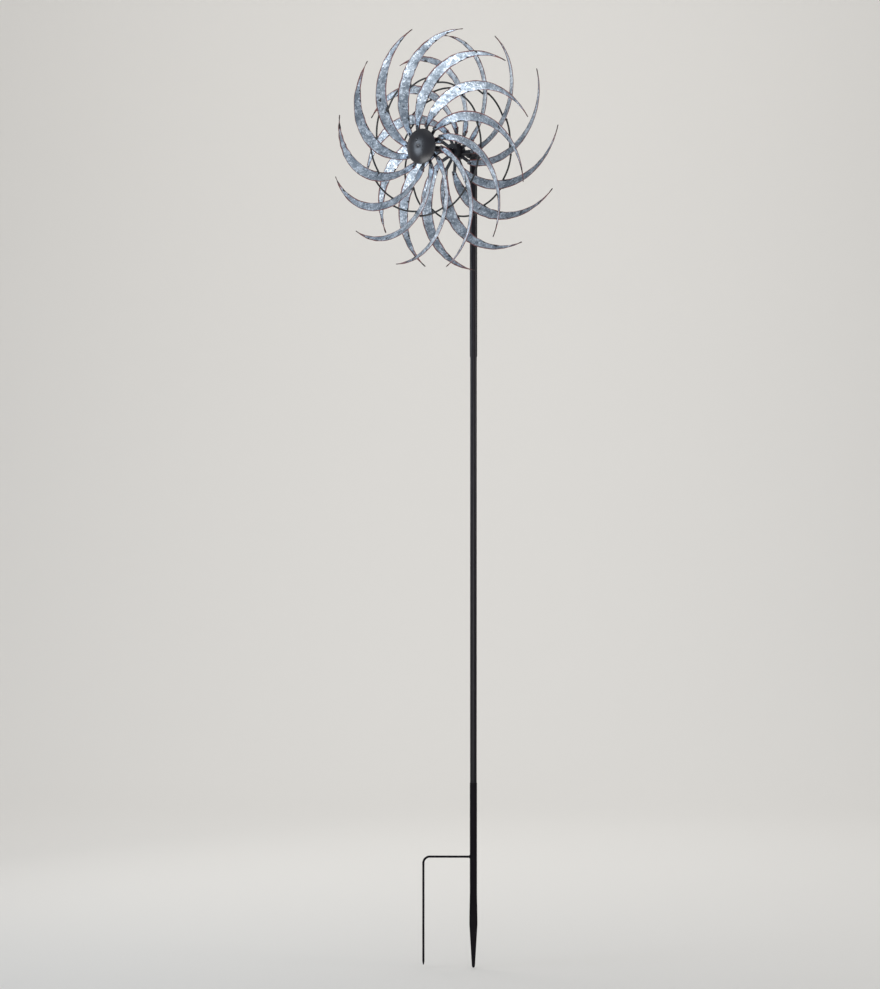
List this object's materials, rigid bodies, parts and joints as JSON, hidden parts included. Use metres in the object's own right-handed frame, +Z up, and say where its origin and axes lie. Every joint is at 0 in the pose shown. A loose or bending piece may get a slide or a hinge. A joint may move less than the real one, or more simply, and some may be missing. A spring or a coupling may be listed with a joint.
{
  "type": "kinetic wind sculpture",
  "caption": "Garden wind sculpture with two counter-rotating rotors of crescent blades on one axle, on a slim pole that ends in a ground stake with a foot bar.",
  "frame": {"origin": "on the pole's axis at ground level, where the underside of the foot bar meets the ground", "axes": "+Z up along the pole, rotors face -Y with their axle parallel to Y, +X to the right seen from the front"},
  "size_m": [0.4762, 0.2098, 1.8781],
  "materials": {
    "galvanised_sheet": "mottled zinc spangle with rusted edges, semi-gloss",
    "black_paint": "satin black paint",
    "black_cap": "smooth satin black paint",
    "black_wire": "black wire",
    "dark_fastener": "dark rivet heads",
    "pole_paint": "satin black paint",
    "stake_paint": "satin black paint",
    "zinc_steel": "zinc plated",
    "bearing_steel": "ground bearing steel",
    "nylon": "natural nylon"
  },
  "bodies": {
    "pole_and_stake": {"stake": "stake_paint", "foot_bar": "stake_paint", "lower_pole": "pole_paint", "upper_pole": "pole_paint", "lower_coupler": "zinc_steel", "upper_coupler": "zinc_steel", "pole_pivot_stud": "zinc_steel"},
    "head": {"head_tube": "black_paint", "head_pivot_plug": "nylon", "axle_boss": "black_paint", "axle": "zinc_steel", "axle_washers": "zinc_steel", "axle_nuts": "zinc_steel", "boss_spacer": "black_paint", "middle_spacer": "black_paint", "front_bearing_inner_races": "bearing_steel", "front_bearing_balls": "bearing_steel", "front_hub_spacer": "zinc_steel", "rear_bearing_inner_races": "bearing_steel", "rear_bearing_balls": "bearing_steel", "rear_hub_spacer": "zinc_steel"},
    "front_rotor": {"front_blade_01": "galvanised_sheet", "front_blade_02": "galvanised_sheet", "front_blade_03": "galvanised_sheet", "front_blade_04": "galvanised_sheet", "front_blade_05": "galvanised_sheet", "front_blade_06": "galvanised_sheet", "front_blade_07": "galvanised_sheet", "front_blade_08": "galvanised_sheet", "front_blade_09": "galvanised_sheet", "front_blade_10": "galvanised_sheet", "front_blade_11": "galvanised_sheet", "front_blade_12": "galvanised_sheet", "front_arm_plate": "black_paint", "front_blade_rivets": "dark_fastener", "front_brace_wires": "black_wire", "front_hub_barrel": "black_paint", "front_bearing_outer_races": "bearing_steel", "front_hub_cap": "black_cap"},
    "rear_rotor": {"rear_blade_01": "galvanised_sheet", "rear_blade_02": "galvanised_sheet", "rear_blade_03": "galvanised_sheet", "rear_blade_04": "galvanised_sheet", "rear_blade_05": "galvanised_sheet", "rear_blade_06": "galvanised_sheet", "rear_blade_07": "galvanised_sheet", "rear_blade_08": "galvanised_sheet", "rear_blade_09": "galvanised_sheet", "rear_blade_10": "galvanised_sheet", "rear_blade_11": "galvanised_sheet", "rear_blade_12": "galvanised_sheet", "rear_arm_plate": "black_paint", "rear_blade_rivets": "dark_fastener", "rear_brace_wires": "black_wire", "rear_hub_barrel": "black_paint", "rear_bearing_outer_races": "bearing_steel", "rear_hub_cover": "black_paint"}
  },
  "joints": [
    {"name": "head_swivel", "type": "hinge", "parent": "pole_and_stake", "child": "head", "pos_m": [0, 0, 1.1], "axis": [0, 0, 1], "continuous": true},
    {"name": "front_rotor_spin", "type": "hinge", "parent": "head", "child": "front_rotor", "pos_m": [0, -0.165, 1.418], "axis": [0, 1, 0], "continuous": true},
    {"name": "rear_rotor_spin", "type": "hinge", "parent": "head", "child": "rear_rotor", "pos_m": [0, -0.063, 1.418], "axis": [0, 1, 0], "continuous": true}
  ]
}
